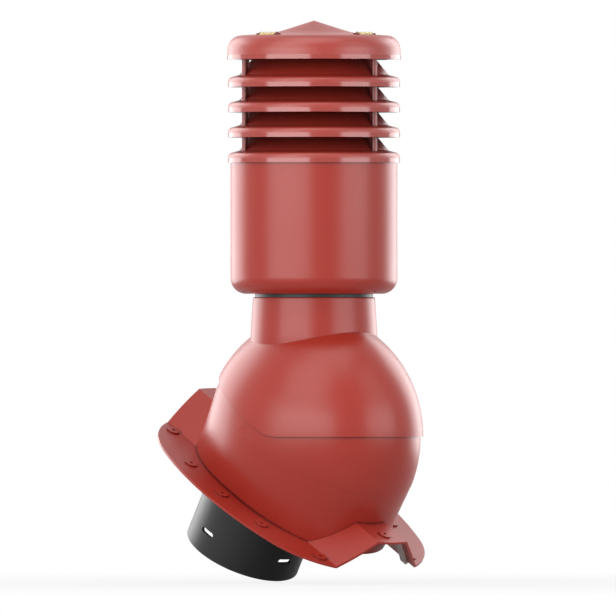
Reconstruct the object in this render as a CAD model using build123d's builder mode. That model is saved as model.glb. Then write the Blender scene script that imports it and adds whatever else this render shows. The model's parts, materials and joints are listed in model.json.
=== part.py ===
"""Insulated roof ventilation chimney, in millimetres.

The frame stands upright, +Z up. -Y points down the roof and X runs across it. The origin is
where the axis of the duct spigot crosses the roof's surface. The base is square to the roof,
and the hood, riser and louvred head stand plumb above the swivel point.
"""

import os
from math import acos, asin, atan2, copysign, cos, degrees, radians, sin, sqrt, tan

from build123d import *

os.makedirs("parts", exist_ok=True)

# Roof, duct and shells
roof_pitch = 30.0
duct_diameter = 150.0
duct_wall = 4.0
shell_wall = 3.0
thin_wall = 2.5
fit_gap = 0.2
swivel_gap = 0.4

# Roof flange, shaped over one rib of the roof sheet, and the seal under its edge
flange_end_margin = 42.9
flange_side_margin = 26.9
flange_side_radius = 387.0
flange_end_flat = 9.5
flange_corner_radius = 105.0
flange_wall = 3.0
seal_thickness = 4.0
seal_width = 10.0
seal_inset = 14.0
rib_foot_width = 132.0
rib_top_width = 44.0
rib_height = 42.0

# Screw pads round the flange
pad_radius = 8.5
pad_height = 2.0
pad_hole_radius = 2.2
pad_side_inset = 26.0
pad_end_inset = 19.0
pad_quarter_reach = 76.0
pad_corner_reach = 78.0

# Ball of the base and hood, both turned about the swivel axis, and the base's wall under it
swivel_height = 91.0
duct_offset = 42.0
hood_side_room = 48.0
hood_room = 80.0
tip_flat = 0.6
wall_foot_taper = 20.1
wall_foot_inset = 4.0
wall_settle = 50.0
wall_fullness = 0.42
wall_levels = 4
wall_points = 24
wall_step = 0.5
hood_edge_reach = 39.0
hood_edge_round = 60.0
pitch_swing = 15.0
lap_angle = 3.0
window_room = 11.0

# Hooks under the hood that hold it down on the base
hook_wall = 5.0
hook_gap = 3.0
hook_foot = 14.0
hook_foot_height = 6.0
hook_drop = 1.5
hook_half_angle = 10.0

# Closing plate of the duct spigot, its pipe and the fixing slots in it
plate_wall = 4.0
plate_gap = 0.5
spigot_drop = 103.0
slot_length = 22.0
slot_height = 6.0
slot_rise = 29.0
slot_count = 4

# Self-tapping screws and the posts they bite into
screw_radius = 1.9
screw_gap = 0.2
screw_head_radius = 3.6
screw_head_height = 2.4
screw_bite = 14.0
post_radius = 6.0
post_height = 26.0
post_sink = 1.5
post_reach = 40.0

# Neck of the hood, which stands out of the ball round the riser
neck_rise = 21.5
neck_wall = 2.6
neck_taper = 3.2
neck_sink = 29.0
neck_round = 1.5
ledge_sink = 19.0
ledge_wall = 3.0
gasket_height = 5.0
gasket_depth = 1.2
gasket_drop = 18.0
gasket_gap = 0.05

# Head casing and the insulation between it and the riser
casing_gap = 4.5
casing_height = 174.5
casing_round = 20.0
insulation_wall = 31.0
insulation_drop = 24.5

# Louvre rings and the columns that space them
crown_seat = 8.0
louvre_pitch = 32.0
louvre_count = 3
louvre_overhang = 3.4
louvre_rim = 11.5
louvre_rim_round = 7.0
louvre_cone_width = 17.0
louvre_bend_height = 15.3
louvre_bend_round = 3.0
louvre_throat_wall = 3.0
louvre_throat_height = 36.0
column_inset = 10.5
column_radius = 3.6
column_rise = 11.0
column_rib_length = 6.0
column_rib_wall = 2.6
column_count = 3
column_turn = -80.0
lug_length = 15.0
lug_width = 12.0
lug_height = 9.0
collar_drop = 10.0
collar_screw_height = 2.0
collar_lip = 2.5

# Tie rods through the columns
rod_radius = 1.5
rod_gap = 0.3
rod_head_radius = 3.2
rod_head_height = 2.5
rod_thread = 10.0

# Cap
cap_gap = 35.0
cap_overhang = 1.3
cap_height = 49.5
cap_knee_radius = 50.0
cap_knee_height = 33.6
cap_taper = 1.7
cap_shoulder_height = 29.4
cap_knee_round = 90.0
cap_shoulder_round = 18.0
cap_boss_radius = 5.5
cap_boss_rise = 10.0

# Spirit-level vials let into the cap
vial_inset = 24.7
vial_length = 28.0
vial_radius = 3.6
vial_wall = 1.0
vial_end = 1.6
vial_plug = 2.6
vial_gap = 0.1
vial_fit = 0.03
vial_rise = 1.6
vial_front_turn = -85.0
vial_side_turn = -175.0
pocket_wall = 2.0
pocket_end = 3.5
pocket_end_width = 7.0
pocket_end_rise = 1.8
bubble_length = 8.0
bubble_radius = 1.6

# Worked-out values
duct_radius = duct_diameter / 2
duct_bore = duct_radius - duct_wall
socket_radius = duct_radius + fit_gap
hood_half_width = duct_radius + hood_side_room
hood_radius = duct_radius + hood_room
base_half_width = hood_half_width - shell_wall - swivel_gap
base_radius = hood_radius - shell_wall - swivel_gap
wall_foot_half_width = base_half_width - wall_foot_taper
window_half_width = duct_radius + window_room
flange_length = 2 * (base_radius + flange_end_margin)
flange_width = 2 * (base_half_width + flange_side_margin)
flange_end_radius = flange_length / 2 - flange_end_flat
flange_top = seal_thickness + flange_wall
rib_angle = atan2(rib_height, (rib_foot_width - rib_top_width) / 2)

# Worked-out values of the stack, with heights above the swivel point
neck_top = hood_radius + neck_rise
neck_top_radius = duct_radius + neck_wall
neck_foot_radius = neck_top_radius + neck_taper
neck_foot = hood_radius - neck_sink
ledge_height = hood_radius - ledge_sink
riser_bottom = ledge_height + ledge_wall
casing_bottom = neck_top + casing_gap
casing_top = casing_bottom + casing_height
casing_radius = duct_radius + insulation_wall
insulation_height = casing_height - insulation_drop
crown_bottom = casing_top - crown_seat
louvre_radius = casing_radius + louvre_overhang
louvre_throat_radius = duct_radius + louvre_throat_wall
louvre_bend_radius = louvre_throat_radius + louvre_cone_width
column_circle = casing_radius - column_inset
riser_top = crown_bottom + louvre_throat_height - collar_lip
cap_bottom = crown_bottom + louvre_count * louvre_pitch + cap_gap
cap_radius = louvre_radius + cap_overhang
cap_shoulder_radius = cap_radius - cap_taper
vial_circle = cap_radius - vial_inset

# Worked-out values of the window in the ball and the hooks through it
window_front = 90 - pitch_swing - lap_angle
hood_edge_lift = degrees(asin(hood_edge_reach * sin(radians(roof_pitch)) / hood_radius))
window_back = pitch_swing + lap_angle + hood_edge_lift + roof_pitch - 90
hook_inner = window_half_width - hook_gap - hook_wall
hook_outer = hook_inner + hook_foot
foot_edge = sqrt(1 - (hook_outer / (base_half_width - shell_wall)) ** 2)
foot_top = (base_radius - shell_wall) * foot_edge - hook_drop
stem_inner = hood_radius * sqrt(1 - (hook_inner / hood_half_width) ** 2) - shell_wall / 2
stem_outer = hood_radius * sqrt(1 - ((hook_inner + hook_wall) / hood_half_width) ** 2) - shell_wall / 2

# Planes and axes. The roof plane's y runs up the slope and its z out of the roof.
roof = Plane.XY.rotated((roof_pitch, 0, 0))
base = Plane(roof.from_local_coords(Vector(0, -duct_offset, 0)), roof.x_dir, roof.z_dir)
rib_section = Plane(base.origin, roof.x_dir, -roof.y_dir)
swivel = roof.from_local_coords(Vector(0, -duct_offset, swivel_height))
swivel_axis = Axis(swivel, (-1, 0, 0))
head = Plane(swivel)
head_axis = Axis(swivel, (0, 0, 1))
section = Plane(swivel, (1, 0, 0), (0, -1, 0))
side_section = Plane(swivel, (0, -1, 0), (-1, 0, 0))


def swung(angle):
    """The plane through the swivel axis whose y points this far forward of straight up."""
    return section.rotated((angle, 0, 0))


def radial(turn, reach, height):
    """A plane square to the head's radius at this turn, facing outward."""
    outward = Vector(cos(radians(turn)), sin(radians(turn)), 0)
    return Plane(swivel + outward * reach + Vector(0, 0, height), (0, 0, 1), outward)


def vial_seat(turn):
    """The plane across a vial's middle: x points outward, y down and z along the vial."""
    outward = Vector(cos(radians(turn)), sin(radians(turn)), 0)
    along = Vector(-sin(radians(turn)), cos(radians(turn)), 0)
    height = cap_bottom + cap_shoulder_height + vial_rise
    return Plane(swivel + outward * vial_circle + Vector(0, 0, height), outward, along)


def polygon(plane, *points):
    """A flat face with these corners."""
    with BuildSketch(plane) as face:
        with BuildLine():
            Polyline(*points, close=True)
        make_face()
    return face.sketch


def disc(plane, *radii):
    """A round face, or a flat ring where a second radius is given for the hole."""
    with BuildSketch(plane) as face:
        Circle(radii[0])
        for radius in radii[1:]:
            Circle(radius, mode=Mode.SUBTRACT)
    return face.sketch


def discs(plane, radius, places):
    """Round faces of one size at these places."""
    with BuildSketch(plane) as face:
        with Locations(*places):
            Circle(radius)
    return face.sketch


def columns(plane, radius):
    """Round faces on the columns' circle."""
    with BuildSketch(plane) as face:
        with PolarLocations(column_circle, column_count, column_turn):
            Circle(radius)
    return face.sketch


def ribbed_columns(plane):
    """The columns' section: a round with a rib toward the head's axis."""
    with BuildSketch(plane) as face:
        with PolarLocations(column_circle, column_count, column_turn):
            Circle(column_radius)
        with PolarLocations(column_circle - column_rib_length / 2, column_count, column_turn):
            Rectangle(column_rib_length, column_rib_wall)
    return face.sketch


def half_oval(half_width, radius):
    """Half an ellipse that stands on the swivel axis, with its tips cut flat."""
    tip = degrees(acos((half_width - tip_flat) / half_width))
    with BuildSketch(section) as face:
        with BuildLine():
            arc = EllipticalCenterArc((0, 0), half_width, radius, start_angle=tip, arc_size=180 - 2 * tip)
            Polyline(arc @ 1, ((arc @ 1).X, 0), ((arc @ 0).X, 0), arc @ 0)
        make_face()
    return face.sketch


def rib_line(rise):
    """The roof sheet's profile across the flange, raised by this much at right angles to it."""
    spread = rise * tan(rib_angle / 2)
    right = [
        (rib_top_width / 2 + spread, rib_height + rise),
        (rib_foot_width / 2 + spread, rise),
        (flange_width, rise),
    ]
    return [(-x, z) for x, z in reversed(right)] + right


def ribbed_sheet(low, high):
    """The face between two rises of the roof sheet's profile."""
    return polygon(rib_section, *rib_line(low), *reversed(rib_line(high)))


def flange_outline(inset):
    """The flange's outline: round ends, flatter sides and soft corners."""
    with BuildSketch(base.offset(-seal_thickness)) as outline:
        SlotOverall(flange_length - 2 * inset, 2 * (flange_end_radius - inset), rotation=90)
        for side in (-1, 1):
            with Locations((side * (flange_width / 2 - flange_side_radius), 0)):
                Circle(flange_side_radius - inset, mode=Mode.INTERSECT)
        fillet(outline.vertices(), flange_corner_radius - inset)
    return outline.sketch


def wall_size(height, inset):
    """Half width, half length and fullness of the base's wall at this height over the roof."""
    share = 1 - height / swivel_height
    settle = min((swivel_height - height) / wall_settle, 1)
    half_width = base_half_width - (base_half_width - wall_foot_half_width) * share**2 - inset
    half_length = base_radius - wall_foot_inset * settle**2 * (3 - 2 * settle) - inset
    return half_width, half_length, 2 + wall_fullness * share**2


def wall_section(height, inset):
    """The base's wall at this height: an oval that grows fuller toward the roof."""
    half_width, half_length, fullness = wall_size(height, inset)
    points = []
    for step in range(wall_points):
        across = cos(radians(step * 360 / wall_points))
        along = sin(radians(step * 360 / wall_points))
        points.append(
            (
                half_width * copysign(abs(across) ** (2 / fullness), across),
                half_length * copysign(abs(along) ** (2 / fullness), along),
            )
        )
    with BuildSketch(base.offset(height)) as face:
        with BuildLine():
            Spline(*points, periodic=True)
        make_face()
    return face.sketch


def wall_sections(inset):
    """The wall's sections from the ball's middle down to the roof."""
    shares = [1 - level / wall_levels for level in range(wall_levels + 1)]
    return [wall_section(swivel_height * share, inset) for share in shares]


def side_pads():
    """Centres of the screw pads on the flat of the flange."""
    quarter_drop = flange_side_radius - sqrt(flange_side_radius**2 - pad_quarter_reach**2)
    corner_drop = flange_end_radius - sqrt(flange_end_radius**2 - pad_corner_reach**2)
    side = flange_width / 2 - pad_side_inset
    end = flange_length / 2 - pad_end_inset
    right = [(side, 0)]
    for way in (-1, 1):
        right.append((side - quarter_drop, way * pad_quarter_reach))
        right.append((pad_corner_reach, way * (end - corner_drop)))
    return right + [(-x, y) for x, y in right]


def end_pads():
    """Centres of the two screw pads on top of the rib."""
    end = flange_length / 2 - pad_end_inset
    return [(0, -end), (0, end)]


def plate_posts():
    """Centres of the screw posts at both ends of the base's wall."""
    half_width, half_length, fullness = wall_size(seal_thickness, wall_step + shell_wall)
    wall = half_length * (1 - (post_reach / half_width) ** fullness) ** (1 / fullness)
    end = wall - post_radius + post_sink
    return [(x * post_reach, y * end) for x in (-1, 1) for y in (-1, 1)]


def sheet_profile(bottom):
    """A louvre's section: an upright rim rounded into a cone that rises to the throat."""
    with BuildSketch(section) as face:
        with BuildLine() as path:
            FilletPolyline(
                (louvre_radius, bottom),
                (louvre_radius, bottom + louvre_rim),
                (louvre_bend_radius, bottom + louvre_bend_height),
                (louvre_throat_radius, bottom + louvre_throat_height),
                radius=[louvre_rim_round, louvre_bend_round],
            )
            offset(path.line, amount=thin_wall, side=Side.LEFT)
        make_face()
    return face.sketch


def cap_profile(inset, drop):
    """The cap's section from the axis out: a low hollow cone, a round shoulder and a rim."""
    with BuildSketch(section) as face:
        with BuildLine():
            FilletPolyline(
                (0, cap_bottom + cap_height - inset),
                (cap_knee_radius, cap_bottom + cap_knee_height - inset),
                (cap_shoulder_radius - inset, cap_bottom + cap_shoulder_height - inset),
                (cap_radius - inset, cap_bottom - drop),
                radius=[cap_knee_round, cap_shoulder_round - inset],
            )
            Polyline(
                (cap_radius - inset, cap_bottom - drop),
                (0, cap_bottom - drop),
                (0, cap_bottom + cap_height - inset),
            )
        make_face()
    return face.sketch


def ball_shell():
    """The upper half of the base's ball, hollow, with a window for the duct."""
    with BuildPart() as shell:
        ball = revolve(half_oval(base_half_width, base_radius), axis=swivel_axis, mode=Mode.PRIVATE)
        add(ball.split(base.offset(swivel_height), keep=Keep.TOP))
        revolve(
            half_oval(base_half_width - shell_wall, base_radius - shell_wall),
            axis=swivel_axis,
            mode=Mode.SUBTRACT,
        )
        revolve(
            polygon(
                swung(window_front),
                (-window_half_width, base_radius / 2),
                (window_half_width, base_radius / 2),
                (window_half_width, hood_radius),
                (-window_half_width, hood_radius),
            ),
            axis=swivel_axis,
            revolution_arc=window_front - window_back,
            mode=Mode.SUBTRACT,
        )
    return shell.part


def base_wall():
    """The base's wall from the ball's middle down to the flange's underside."""
    with BuildPart() as wall:
        loft(wall_sections(wall_step))
        loft(wall_sections(wall_step + shell_wall), mode=Mode.SUBTRACT)
        split(bisect_by=base.offset(seal_thickness), keep=Keep.TOP)
    return wall.part


# Base: flange, wall and ball in one moulding, with a window in the ball for the duct
with BuildPart() as base_flange:
    extrude(ribbed_sheet(seal_thickness, flange_top), amount=flange_length, both=True)
    extrude(flange_outline(0), amount=2 * swivel_height, mode=Mode.INTERSECT)
    extrude(
        discs(base.offset(flange_top - flange_wall / 2), pad_radius, side_pads()),
        amount=flange_wall / 2 + pad_height,
    )
    extrude(
        discs(base.offset(rib_height + flange_top - flange_wall / 2), pad_radius, end_pads()),
        amount=flange_wall / 2 + pad_height,
    )
    extrude(
        discs(base, pad_hole_radius, side_pads() + end_pads()),
        amount=swivel_height,
        mode=Mode.SUBTRACT,
    )
    loft(wall_sections(shell_wall / 2), mode=Mode.SUBTRACT)
    add(base_wall())
    add(ball_shell())
    extrude(
        discs(base.offset(seal_thickness + plate_wall), post_radius, plate_posts()),
        amount=post_height,
    )
    extrude(
        discs(base.offset(seal_thickness + plate_wall), screw_radius + screw_gap, plate_posts()),
        amount=screw_bite + screw_gap,
        mode=Mode.SUBTRACT,
    )
base_flange.part.label = "base_flange"
export_step(base_flange.part, "parts/base_flange.step")

# Roof seal: a foam band under the flange's edge
with BuildPart() as roof_seal:
    extrude(ribbed_sheet(0, seal_thickness), amount=flange_length, both=True)
    extrude(flange_outline(seal_inset), amount=2 * swivel_height, mode=Mode.INTERSECT)
    extrude(flange_outline(seal_inset + seal_width), amount=2 * swivel_height, mode=Mode.SUBTRACT)
roof_seal.part.label = "roof_seal"
export_step(roof_seal.part, "parts/roof_seal.step")

# Duct spigot: the plate that closes the base and the pipe down through the roof, one moulding
with BuildPart() as duct_spigot:
    extrude(wall_section(seal_thickness, wall_step + shell_wall + plate_gap), amount=plate_wall)
    extrude(disc(roof.offset(-spigot_drop), duct_radius), amount=spigot_drop + seal_thickness)
    extrude(
        disc(roof.offset(-spigot_drop), duct_bore),
        amount=spigot_drop + seal_thickness + plate_wall,
        mode=Mode.SUBTRACT,
    )
    for turn in range(slot_count):
        angle = radians(turn * 360 / slot_count)
        outward = roof.x_dir * cos(angle) + roof.y_dir * sin(angle)
        centre = roof.offset(slot_rise - spigot_drop).origin
        with BuildSketch(Plane(centre, roof.z_dir.cross(outward), outward)):
            SlotOverall(slot_length, slot_height)
        extrude(amount=duct_diameter, mode=Mode.SUBTRACT)
    extrude(
        discs(base.offset(seal_thickness), screw_radius + screw_gap, plate_posts()),
        amount=plate_wall,
        mode=Mode.SUBTRACT,
    )
duct_spigot.part.label = "duct_spigot"
export_step(duct_spigot.part, "parts/duct_spigot.step")

# Plate screws: four, driven from below
with BuildPart() as plate_screws:
    extrude(discs(base.offset(seal_thickness), screw_radius, plate_posts()), amount=plate_wall + screw_bite)
    extrude(discs(base.offset(seal_thickness), screw_head_radius, plate_posts()), amount=-screw_head_height)
plate_screws.part.label = "plate_screws"
export_step(plate_screws.part, "parts/plate_screws.step")

# Hood: half ball with the neck on top and two hooks inside
with BuildPart() as hood:
    hood_ball = revolve(half_oval(hood_half_width, hood_radius), axis=swivel_axis, mode=Mode.PRIVATE)
    add(hood_ball.split(head, keep=Keep.TOP))
    revolve(
        polygon(
            section,
            (0, hood_radius / 2),
            (neck_foot_radius, hood_radius / 2),
            (neck_foot_radius, neck_foot),
            (neck_top_radius, neck_top),
            (0, neck_top),
        ),
        axis=head_axis,
    )
    fillet(hood.faces().sort_by(Axis.Z)[-1].edges(), neck_round)
    revolve(
        half_oval(hood_half_width - shell_wall, hood_radius - shell_wall),
        axis=swivel_axis,
        mode=Mode.SUBTRACT,
    )
    rise = (hood_edge_reach + hood_radius) * tan(radians(roof_pitch))
    with BuildSketch(side_section) as back_cut:
        with BuildLine():
            FilletPolyline(
                (2 * hood_radius, 0),
                (hood_edge_reach, 0),
                (-hood_radius, rise),
                radius=hood_edge_round,
            )
            Polyline(
                (-hood_radius, rise),
                (-hood_radius, -hood_radius),
                (2 * hood_radius, -hood_radius),
                (2 * hood_radius, 0),
            )
        make_face()
    extrude(amount=hood_radius, both=True, mode=Mode.SUBTRACT)
    for side in (-1, 1):
        revolve(
            polygon(
                swung(hook_half_angle),
                (side * hook_inner, foot_top - hook_foot_height),
                (side * hook_outer, foot_top - hook_foot_height),
                (side * hook_outer, foot_top),
                (side * (hook_inner + hook_wall), foot_top),
                (side * (hook_inner + hook_wall), stem_outer),
                (side * hook_inner, stem_inner),
            ),
            axis=swivel_axis,
            revolution_arc=2 * hook_half_angle,
        )
    extrude(disc(head.offset(ledge_height), duct_bore), amount=neck_top, mode=Mode.SUBTRACT)
    extrude(
        disc(head.offset(hood_radius / 2), socket_radius),
        amount=ledge_height - hood_radius / 2,
        mode=Mode.SUBTRACT,
    )
    extrude(disc(head.offset(riser_bottom), socket_radius), amount=neck_top, mode=Mode.SUBTRACT)
    extrude(
        disc(head.offset(neck_top - gasket_drop), socket_radius + gasket_depth),
        amount=gasket_height,
        mode=Mode.SUBTRACT,
    )
hood.part.label = "hood"
export_step(hood.part, "parts/hood.step")

# Neck seal: a rubber ring between the neck and the riser
with BuildPart() as neck_seal:
    extrude(
        disc(
            head.offset(neck_top - gasket_drop + gasket_gap),
            socket_radius + gasket_depth - gasket_gap,
            duct_radius + gasket_gap,
        ),
        amount=gasket_height - 2 * gasket_gap,
    )
neck_seal.part.label = "neck_seal"
export_step(neck_seal.part, "parts/neck_seal.step")

# Riser: the duct from the neck up into the louvred head
with BuildPart() as riser_pipe:
    extrude(disc(head.offset(riser_bottom), duct_radius, duct_bore), amount=riser_top - riser_bottom)
    for turn in range(column_count):
        angle = column_turn + (turn + 0.5) * 360 / column_count
        extrude(
            disc(radial(angle, duct_bore / 2, crown_bottom + collar_screw_height), screw_radius + screw_gap),
            amount=duct_radius,
            mode=Mode.SUBTRACT,
        )
riser_pipe.part.label = "riser_pipe"
export_step(riser_pipe.part, "parts/riser_pipe.step")

# Casing round the riser, with lugs for the tie rods
with BuildPart() as casing:
    with BuildSketch(section) as casing_wall:
        with BuildLine() as casing_line:
            FilletPolyline(
                (socket_radius, casing_bottom),
                (casing_radius, casing_bottom),
                (casing_radius, casing_top),
                radius=casing_round,
            )
            offset(casing_line.line, amount=thin_wall, side=Side.LEFT)
        make_face()
    revolve(axis=head_axis)
    with BuildSketch(head.offset(casing_top - lug_height)) as lugs:
        with PolarLocations(casing_radius - thin_wall / 2 - lug_length / 2, column_count, column_turn):
            Rectangle(lug_length, lug_width)
    extrude(amount=lug_height)
    extrude(
        columns(head.offset(casing_bottom + thin_wall), rod_radius + rod_gap),
        amount=casing_top,
        mode=Mode.SUBTRACT,
    )
casing.part.label = "casing"
export_step(casing.part, "parts/casing.step")

# Insulation: a foam sleeve between the riser and the casing
with BuildPart() as insulation:
    with BuildSketch(section) as sleeve:
        with Locations((socket_radius, casing_bottom + thin_wall)):
            Rectangle(
                casing_radius - thin_wall - fit_gap - socket_radius,
                insulation_height,
                align=(Align.MIN, Align.MIN),
            )
        fillet(sleeve.vertices().sort_by(Axis.Y)[:2].sort_by(Axis.X)[-1], casing_round - thin_wall)
    revolve(axis=head_axis)
insulation.part.label = "insulation"
export_step(insulation.part, "parts/insulation.step")

# Crown ring: the lowest louvre, with a collar that sits on top of the riser
with BuildPart() as crown_ring:
    revolve(sheet_profile(crown_bottom), axis=head_axis)
    extrude(
        disc(head.offset(crown_bottom - collar_drop), socket_radius + thin_wall, socket_radius),
        amount=collar_drop + louvre_throat_height,
    )
    extrude(disc(head.offset(riser_top), socket_radius + thin_wall, duct_bore), amount=collar_lip)
    extrude(ribbed_columns(head.offset(casing_top)), amount=louvre_pitch + column_rise - crown_seat)
    extrude(
        columns(head.offset(crown_bottom), rod_radius + rod_gap),
        amount=2 * louvre_pitch,
        mode=Mode.SUBTRACT,
    )
    for turn in range(column_count):
        angle = column_turn + (turn + 0.5) * 360 / column_count
        extrude(
            disc(radial(angle, duct_bore / 2, crown_bottom + collar_screw_height), screw_radius + screw_gap),
            amount=column_circle - duct_bore / 2,
            mode=Mode.SUBTRACT,
        )
crown_ring.part.label = "crown_ring"
export_step(crown_ring.part, "parts/crown_ring.step")

# Collar screws: three, through the crown's collar into the riser
with BuildPart() as collar_screws:
    for turn in range(column_count):
        seat = radial(
            column_turn + (turn + 0.5) * 360 / column_count,
            socket_radius + thin_wall,
            crown_bottom + collar_screw_height,
        )
        extrude(disc(seat, screw_radius), amount=-(thin_wall + fit_gap + duct_wall))
        extrude(disc(seat, screw_head_radius), amount=screw_head_height)
collar_screws.part.label = "collar_screws"
export_step(collar_screws.part, "parts/collar_screws.step")


def louvre_ring(place):
    """One louvre ring with its columns, counted from the crown up."""
    bottom = crown_bottom + place * louvre_pitch
    rise = cap_gap + cap_boss_rise - column_rise if place == louvre_count else louvre_pitch
    with BuildPart() as ring:
        revolve(sheet_profile(bottom), axis=head_axis)
        extrude(ribbed_columns(head.offset(bottom + column_rise)), amount=rise)
        extrude(
            columns(head.offset(bottom), rod_radius + rod_gap),
            amount=2 * louvre_pitch,
            mode=Mode.SUBTRACT,
        )
    return ring.part


# Louvre rings: three alike, the top one with longer columns
with BuildPart() as louvre_low:
    add(louvre_ring(1))
louvre_low.part.label = "louvre_low"
export_step(louvre_low.part, "parts/louvre_low.step")

with BuildPart() as louvre_middle:
    add(louvre_ring(2))
louvre_middle.part.label = "louvre_middle"
export_step(louvre_middle.part, "parts/louvre_middle.step")

with BuildPart() as louvre_top:
    add(louvre_ring(3))
louvre_top.part.label = "louvre_top"
export_step(louvre_top.part, "parts/louvre_top.step")

# Cap, with a boss over each column and two pockets for the vials
with BuildPart() as cap:
    revolve(cap_profile(0, 0), axis=head_axis)
    hollow = revolve(cap_profile(thin_wall, thin_wall), axis=head_axis, mode=Mode.PRIVATE)
    add(hollow, mode=Mode.SUBTRACT)
    extrude(
        columns(head.offset(cap_bottom + cap_boss_rise), cap_boss_radius),
        amount=cap_shoulder_height - cap_boss_rise - thin_wall / 2,
    )
    extrude(
        columns(head.offset(cap_bottom), rod_radius + rod_gap),
        amount=cap_boss_rise + rod_thread + rod_gap,
        mode=Mode.SUBTRACT,
    )
    for turn in (vial_front_turn, vial_side_turn):
        pocket = vial_seat(turn)
        half = vial_length / 2 + vial_gap
        depth = vial_radius + vial_gap + pocket_wall
        with BuildSketch(pocket.offset(-half - pocket_end)) as block:
            with Locations((0, vial_rise + thin_wall / 2)):
                Rectangle(2 * depth, depth - vial_rise - thin_wall / 2, align=(Align.CENTER, Align.MIN))
        extrude(amount=2 * (half + pocket_end))
        for end in (-half - pocket_end, half):
            with BuildSketch(pocket.offset(end)) as stop:
                with Locations((0, -pocket_end_rise)):
                    Rectangle(pocket_end_width, pocket_end_rise + depth, align=(Align.CENTER, Align.MIN))
            extrude(amount=pocket_end)
        extrude(disc(pocket.offset(-half), vial_radius + vial_gap), amount=2 * half, mode=Mode.SUBTRACT)
cap.part.label = "cap"
export_step(cap.part, "parts/cap.step")

# Tie rods: three, from under the casing's lugs up into the cap
with BuildPart() as tie_rods:
    extrude(
        columns(head.offset(casing_top - lug_height), rod_radius),
        amount=cap_bottom + cap_boss_rise + rod_thread - casing_top + lug_height,
    )
    extrude(columns(head.offset(casing_top - lug_height), rod_head_radius), amount=-rod_head_height)
tie_rods.part.label = "tie_rods"
export_step(tie_rods.part, "parts/tie_rods.step")


def vial_tube(turn):
    """A vial: a clear tube closed at one end."""
    with BuildPart() as tube:
        extrude(disc(vial_seat(turn).offset(-vial_length / 2), vial_radius), amount=vial_length)
        extrude(
            disc(vial_seat(turn).offset(vial_end - vial_length / 2), vial_radius - vial_wall),
            amount=vial_length,
            mode=Mode.SUBTRACT,
        )
    return tube.part


def vial_stopper(turn):
    """The plug in a vial's open end."""
    with BuildPart() as stopper:
        extrude(
            disc(vial_seat(turn).offset(vial_length / 2 - vial_plug), vial_radius - vial_wall - vial_fit),
            amount=vial_plug,
        )
    return stopper.part


def vial_liquid(turn):
    """The liquid in a vial, with the bubble left out of it."""
    bore = vial_radius - vial_wall - vial_fit
    with BuildPart() as liquid:
        extrude(
            disc(vial_seat(turn).offset(vial_end - vial_length / 2 + vial_fit), bore),
            amount=vial_length - vial_end - vial_plug - 2 * vial_fit,
        )
        extrude(
            discs(vial_seat(turn).offset(-bubble_length / 2), bubble_radius, [(0, -bore)]),
            amount=bubble_length,
            mode=Mode.SUBTRACT,
        )
    return liquid.part


# Vials: one on the front and one on the side of the cap
with BuildPart() as vial_front:
    add(vial_tube(vial_front_turn))
vial_front.part.label = "vial_front"
export_step(vial_front.part, "parts/vial_front.step")

with BuildPart() as vial_side:
    add(vial_tube(vial_side_turn))
vial_side.part.label = "vial_side"
export_step(vial_side.part, "parts/vial_side.step")

with BuildPart() as plug_front:
    add(vial_stopper(vial_front_turn))
plug_front.part.label = "plug_front"
export_step(plug_front.part, "parts/plug_front.step")

with BuildPart() as plug_side:
    add(vial_stopper(vial_side_turn))
plug_side.part.label = "plug_side"
export_step(plug_side.part, "parts/plug_side.step")

with BuildPart() as liquid_front:
    add(vial_liquid(vial_front_turn))
liquid_front.part.label = "liquid_front"
export_step(liquid_front.part, "parts/liquid_front.step")

with BuildPart() as liquid_side:
    add(vial_liquid(vial_side_turn))
liquid_side.part.label = "liquid_side"
export_step(liquid_side.part, "parts/liquid_side.step")
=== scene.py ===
"""The roof ventilation chimney on a pale floor, seen level from between its front and left side."""

import json
import math

import bpy
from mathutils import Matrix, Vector


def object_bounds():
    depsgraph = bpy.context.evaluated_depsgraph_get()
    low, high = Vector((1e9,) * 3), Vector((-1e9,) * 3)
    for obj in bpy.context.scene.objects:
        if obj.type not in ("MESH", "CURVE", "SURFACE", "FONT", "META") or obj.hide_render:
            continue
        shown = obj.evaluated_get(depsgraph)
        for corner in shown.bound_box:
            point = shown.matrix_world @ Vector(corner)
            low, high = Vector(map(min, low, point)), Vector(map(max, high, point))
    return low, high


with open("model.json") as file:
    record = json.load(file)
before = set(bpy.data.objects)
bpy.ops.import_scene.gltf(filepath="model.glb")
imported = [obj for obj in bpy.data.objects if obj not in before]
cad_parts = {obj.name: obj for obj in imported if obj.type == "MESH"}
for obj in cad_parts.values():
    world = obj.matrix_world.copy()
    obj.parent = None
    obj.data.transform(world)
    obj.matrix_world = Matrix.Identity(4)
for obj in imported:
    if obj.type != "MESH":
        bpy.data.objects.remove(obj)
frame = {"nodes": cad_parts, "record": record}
cad_low, cad_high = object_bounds()

MM = 0.001

# Where the hood turns on the base, in metres
SWIVEL = Vector(frame["record"]["behaviour"]["joints"][0]["pos_m"])

# Camera: level, a long way off, turned toward the corner between the front and the left side
VIEW_TURN = math.radians(-43.0)
FRAME_WIDTH = 782.0 * MM
VIEW_SHIFT = -7.6 * MM
VIEW_RISE = 163.0 * MM
SENSOR_MM = 36.0
FIELD_OF_VIEW = math.radians(1.6)

# Pieces of the louvred head, from the lowest up
HEAD_NODES = ("crown_ring", "louvre_low", "louvre_middle", "louvre_top", "cap")

# Moulded surfaces: how far the gloss varies, over what size, and how strong the grain is
MOULDED_IOR = 1.49
MOULDED_SPECULAR = 0.5
GLOSS_SPREAD = 0.03
GLOSS_CLOUD_MM = 60
GRAIN_STRENGTH = 0.25

# Glossier lip at the foot of the cap and of each louvre, on pieces that reflect a little more all over
LIP_HALF_HEIGHT = 2.8 * MM
LIP_ROUGH_SHARE = 0.4
LIPPED_SPECULAR = 0.8

# Recess shade: stands in for the deep shadow that the photograph shows in seams and gaps
PAINTED_SHADE_BRIGHTNESS = 0.3
PAINTED_SHADE_CLOSED = 0.35
PAINTED_SHADE_OPEN = 0.95


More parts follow.
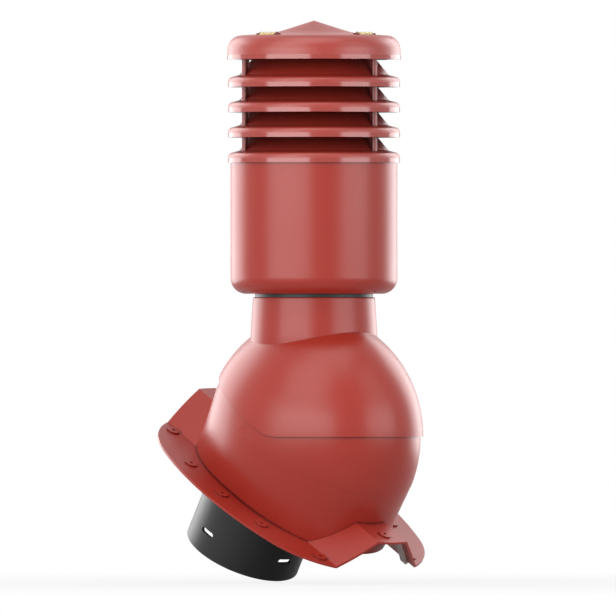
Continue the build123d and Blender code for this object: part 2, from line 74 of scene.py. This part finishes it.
def foot(name):
    """Height of a node's lowest point, in metres."""
    return min(corner.co.z for corner in frame["nodes"][name].data.vertices)


def linear(hex_colour):
    """A colour written as sRGB hex, in the linear values that sockets take."""
    values = []
    for place in (0, 2, 4):
        value = int(hex_colour[place:place + 2], 16) / 255
        values.append(value / 12.92 if value <= 0.04045 else ((value + 0.055) / 1.055) ** 2.4)
    return (*values, 1.0)


def add_node(tree, kind, settings=None, inputs=None):
    """Adds a node. Inputs go by name or number, and a tuple of a node and an output's name is linked."""
    node = tree.nodes.new(kind)
    for name, value in (settings or {}).items():
        setattr(node, name, value)
    for name, value in (inputs or {}).items():
        if isinstance(value, tuple) and isinstance(value[0], bpy.types.Node):
            tree.links.new(value[0].outputs[value[1]], node.inputs[name])
        else:
            node.inputs[name].default_value = value
    return node


def empty_material(name):
    """A node material with nothing in it."""
    material = bpy.data.materials.new(name)
    material.use_nodes = True
    material.node_tree.nodes.clear()
    return material


def moulded(name, hex_colour, rough, grain_mm, depth_mm, recess_mm=0, lips=()):
    """A surface of one colour with a fine grain and a gloss that varies a little.

    recess_mm is how far out of seams and gaps the painted shade reaches. The colour is darkened there
    to stand in for shadow. lips lists the heights, in metres, at which a glossier band runs round
    the piece.
    """
    material = empty_material(name)
    tree = material.node_tree
    place = add_node(tree, "ShaderNodeTexCoord")
    grain = add_node(tree, "ShaderNodeTexNoise", inputs={
        "Vector": (place, "Object"), "Scale": 1.0 / (grain_mm * MM), "Detail": 2.0, "Roughness": 0.5})
    cloud = add_node(tree, "ShaderNodeTexNoise", inputs={
        "Vector": (place, "Object"), "Scale": 1.0 / (GLOSS_CLOUD_MM * MM), "Detail": 1.0})
    spread = add_node(tree, "ShaderNodeMapRange", inputs={
        "Value": (cloud, "Fac"), "To Min": rough - GLOSS_SPREAD, "To Max": rough + GLOSS_SPREAD})
    gloss = (spread, "Result")
    colour = linear(hex_colour)
    # Painted shade: where ambient occlusion finds seams and gaps, the colour is darkened to stand in for
    # shadow
    if recess_mm:
        open_air = add_node(tree, "ShaderNodeAmbientOcclusion", inputs={"Distance": recess_mm * MM})
        painted_shade_level = add_node(tree, "ShaderNodeMapRange", inputs={
            "Value": (open_air, "AO"), "From Min": PAINTED_SHADE_CLOSED, "From Max": PAINTED_SHADE_OPEN,
            "To Min": PAINTED_SHADE_BRIGHTNESS, "To Max": 1.0})
        painted_shade = add_node(tree, "ShaderNodeHueSaturation", inputs={
            "Value": (painted_shade_level, "Result"), "Color": colour})
        colour = (painted_shade, "Color")
    if lips:
        split = add_node(tree, "ShaderNodeSeparateXYZ", inputs={"Vector": (place, "Object")})
    for height in lips:
        band = add_node(tree, "ShaderNodeMath", {"operation": "COMPARE"}, {
            0: (split, "Z"), 1: height, 2: LIP_HALF_HEIGHT})
        share = add_node(tree, "ShaderNodeMapRange", inputs={
            "Value": (band, "Value"), "To Min": 1.0, "To Max": LIP_ROUGH_SHARE})
        finer = add_node(tree, "ShaderNodeMath", {"operation": "MULTIPLY"}, {
            0: gloss, 1: (share, "Result")})
        gloss = (finer, "Value")
    relief = add_node(tree, "ShaderNodeBump", inputs={
        "Height": (grain, "Fac"), "Strength": GRAIN_STRENGTH, "Distance": depth_mm * MM})
    surface = add_node(tree, "ShaderNodeBsdfPrincipled", inputs={
        "Base Color": colour, "IOR": MOULDED_IOR,
        "Specular IOR Level": LIPPED_SPECULAR if lips else MOULDED_SPECULAR,
        "Roughness": gloss, "Normal": (relief, "Normal")})
    add_node(tree, "ShaderNodeOutputMaterial", inputs={"Surface": (surface, "BSDF")})
    return material


def plain(name, hex_colour, **sockets):
    """A material that is the same all over."""
    material = empty_material(name)
    tree = material.node_tree
    values = {"Base Color": linear(hex_colour)}
    values.update({key.replace("_", " "): value for key, value in sockets.items()})
    surface = add_node(tree, "ShaderNodeBsdfPrincipled", inputs=values)
    add_node(tree, "ShaderNodeOutputMaterial", inputs={"Surface": (surface, "BSDF")})
    return material


# Polypropylene, moulded: brick red, satin, with a broad soft highlight, and a little painted shade in its
# creases
red_polypropylene = moulded("Polypropylene, moulded, brick red", "A63024", 0.32, 0.9, 0.02, recess_mm=4)
# The same on the head, with glossier lips, as sharper reflections in the photograph suggest.
# The crown ring's lip lies one louvre step under that of the lowest louvre ring.
louvre_step = foot("louvre_middle") - foot("louvre_low")
lip_feet = [foot("louvre_low") - louvre_step] + [foot(name) for name in HEAD_NODES[1:]]
# Its painted shade reaches 40 mm into the louvre gaps, darkening the colour there in place of shadow
head_polypropylene = moulded(
    "Polypropylene, moulded, brick red, polished lips", "A63024", 0.36, 0.9, 0.02,
    recess_mm=40, lips=[height + LIP_HALF_HEIGHT for height in lip_feet])
# Polypropylene pipe, extruded: near black and satin
black_polypropylene = moulded("Polypropylene pipe, extruded, black", "262728", 0.42, 0.9, 0.02)
# Rubber ring: dull and dark
ring_rubber = moulded("EPDM rubber ring, moulded", "1D1D1D", 0.7, 0.8, 0.03)
# Foam strip under the flange: dull and pale
pale_foam = moulded("Polyethylene foam, cut strip", "CFC6C2", 0.9, 0.8, 0.08)
# Mineral wool, pressed into a sleeve: no gloss
mineral_wool = moulded("Mineral wool, pressed sleeve", "CDBF9F", 0.95, 1.5, 0.3)
# Zinc-plated steel screws: a dull metal sheen
zinc_steel = plain("Steel, zinc plated", "B9BBBD", Metallic=1.0, Roughness=0.35)
# Acrylic vial: clear and polished
clear_acrylic = plain("Acrylic vial, clear", "FBF3DC", Roughness=0.06, IOR=1.49, Transmission_Weight=0.85)
# Dyed spirit in the vial: pale yellow
dyed_spirit = plain("Dyed spirit, pale yellow", "F0DFA0", Roughness=0.1, IOR=1.36)
# Vial plug: dark brown plastic
brown_plastic = plain("Polyethylene plug, dark brown", "3E241C", Roughness=0.5, IOR=1.5)

FINISHES = {
    "red_plastic": red_polypropylene,
    "black_plastic": black_polypropylene,
    "seal_rubber": ring_rubber,
    "insulation_wool": mineral_wool,
    "screw_steel": zinc_steel,
    "vial_clear": clear_acrylic,
    "vial_liquid": dyed_spirit,
    "plug_plastic": brown_plastic,
}
NODE_FINISHES = {name: head_polypropylene for name in HEAD_NODES}
NODE_FINISHES["roof_seal"] = pale_foam
for part in frame["record"]["subparts"]:
    shape = frame["nodes"][part["node"]]
    for slot in shape.material_slots:
        slot.material = NODE_FINISHES.get(part["node"], FINISHES[part["material_slot"]])

bpy.ops.object.select_all(action="DESELECT")

# Floor: pale and plain. The camera sees it mostly white, with a little of the object's shadow.
FLOOR_GAP = 2.0 * MM
FLOOR_SIZE = 5.0
SHADOW_REACH = 0.3
WHITE_REACH = 1.3
NEAR_WHITE_SHARE = 0.85
bpy.ops.mesh.primitive_plane_add(size=FLOOR_SIZE, location=(0, 0, 0))
floor = bpy.context.active_object
floor.name = "floor"
bpy.ops.transform.translate(value=(0, SWIVEL.y, cad_low.z - FLOOR_GAP))
paint = empty_material("Floor paint, pale matt")
tree = paint.node_tree
place = add_node(tree, "ShaderNodeTexCoord")
reach = add_node(tree, "ShaderNodeVectorMath", {"operation": "LENGTH"}, {"Vector": (place, "Object")})
fade = add_node(tree, "ShaderNodeMapRange", inputs={
    "Value": (reach, "Value"), "From Min": SHADOW_REACH, "From Max": WHITE_REACH,
    "To Min": NEAR_WHITE_SHARE, "To Max": 1.0})
rays = add_node(tree, "ShaderNodeLightPath")
share = add_node(tree, "ShaderNodeMath", {"operation": "MULTIPLY"}, {
    0: (rays, "Is Camera Ray"), 1: (fade, "Result")})
matt = add_node(tree, "ShaderNodeBsdfDiffuse", inputs={"Color": linear("C8C8C8")})
white = add_node(tree, "ShaderNodeEmission", inputs={"Color": linear("FFFFFF"), "Strength": 1.0})
mixed = add_node(tree, "ShaderNodeMixShader", inputs={
    0: (share, "Value"), 1: (matt, "BSDF"), 2: (white, "Emission")})
add_node(tree, "ShaderNodeOutputMaterial", inputs={"Surface": (mixed, "Shader")})
floor.data.materials.append(paint)

# World: white to the camera, in reflections and through clear pieces, softer as light
AMBIENT = 0.08
world = bpy.data.worlds.new("Studio")
bpy.context.scene.world = world
world.use_nodes = True
sky = world.node_tree
sky.nodes.clear()
rays = add_node(sky, "ShaderNodeLightPath")
seen = add_node(sky, "ShaderNodeMath", {"operation": "MAXIMUM"}, {
    0: (rays, "Is Camera Ray"), 1: (rays, "Is Glossy Ray")})
clear = add_node(sky, "ShaderNodeMath", {"operation": "MAXIMUM"}, {
    0: (seen, "Value"), 1: (rays, "Is Transmission Ray")})
level = add_node(sky, "ShaderNodeMapRange", inputs={
    "Value": (clear, "Value"), "To Min": AMBIENT, "To Max": 1.0})
glow = add_node(sky, "ShaderNodeBackground", inputs={
    "Color": linear("FFFFFF"), "Strength": (level, "Result")})
add_node(sky, "ShaderNodeOutputWorld", inputs={"Surface": (glow, "Background")})

# Soft boxes: placed by their turn from the camera, their height and their distance from the object
MIDDLE = SWIVEL + Vector((0, 0, VIEW_RISE))


def soft_box(name, turn_deg, rise, away, width, height, power):
    """An area lamp that faces the middle of the object. Lengths are in metres, power in watts."""
    lamp = bpy.data.lights.new(name, "AREA")
    lamp.shape = "RECTANGLE"
    lamp.size = width
    lamp.size_y = height
    lamp.energy = power
    turn = VIEW_TURN + math.radians(turn_deg)
    stand = bpy.data.objects.new(name, lamp)
    bpy.context.collection.objects.link(stand)
    stand.location = MIDDLE + Vector((math.sin(turn) * away, -math.cos(turn) * away, rise))
    stand.rotation_euler = (MIDDLE - stand.location).to_track_quat("-Z", "Y").to_euler()


soft_box("left_box", -36, 1.7, 2.0, 1.9, 1.6, 19)
soft_box("left_strip", -35, 0.3, 2.2, 2.5, 0.9, 25)
soft_box("right_box", 58, 1.5, 2.0, 1.3, 1.6, 6)
soft_box("right_strip", 57, 0.3, 2.2, 1.7, 0.9, 14)
soft_box("top_light", -10, 2.4, 0.6, 1.8, 1.8, 16)
soft_box("left_rim", -134, 0.4, 2.2, 1.7, 2.4, 40)
soft_box("right_rim", 138, 0.4, 2.2, 1.4, 2.4, 36)

# Camera
right = Vector((math.cos(VIEW_TURN), math.sin(VIEW_TURN), 0))
toward = Vector((math.sin(VIEW_TURN), -math.cos(VIEW_TURN), 0))
lens = bpy.data.cameras.new("camera")
lens.sensor_width = SENSOR_MM
lens.lens = SENSOR_MM / 2 / math.tan(FIELD_OF_VIEW / 2)
distance = FRAME_WIDTH / 2 / math.tan(FIELD_OF_VIEW / 2)
lens.clip_end = 3 * distance
camera = bpy.data.objects.new("camera", lens)
bpy.context.collection.objects.link(camera)
camera.location = MIDDLE + right * VIEW_SHIFT + toward * distance
camera.rotation_euler = (math.pi / 2, 0, VIEW_TURN)
bpy.context.scene.camera = camera

bpy.context.scene.view_settings.view_transform = "Standard"
